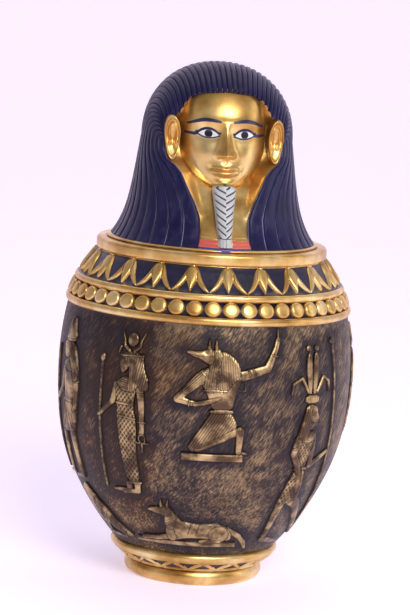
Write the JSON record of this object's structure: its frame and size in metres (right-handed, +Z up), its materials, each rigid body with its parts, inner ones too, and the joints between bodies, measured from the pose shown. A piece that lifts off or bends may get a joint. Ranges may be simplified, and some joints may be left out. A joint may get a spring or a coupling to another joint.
{
  "type": "canopic jar",
  "caption": "Painted cast-resin copy of an Egyptian canopic jar, with relief figures, gold bead and lotus bands, and a lid shaped as a head in a blue wig.",
  "frame": {"origin": "centre of the jar's flat underside", "axes": "+Z up through the jar and the head, -Y where the face looks, +X to the face's left"},
  "size_m": [0.1738, 0.1748, 0.3],
  "materials": {
    "bronze_paint": "dark bronze paint with dry-brushed gold on cast resin",
    "gold_paint": "satin gold paint on cast resin",
    "blue_paint": "satin deep blue paint on cast resin",
    "white_paint": "off-white paint on cast resin",
    "red_paint": "pinkish red paint on cast resin"
  },
  "bodies": {
    "root": {"jar": "bronze_paint", "lid": "blue_paint"}
  },
  "joints": []
}
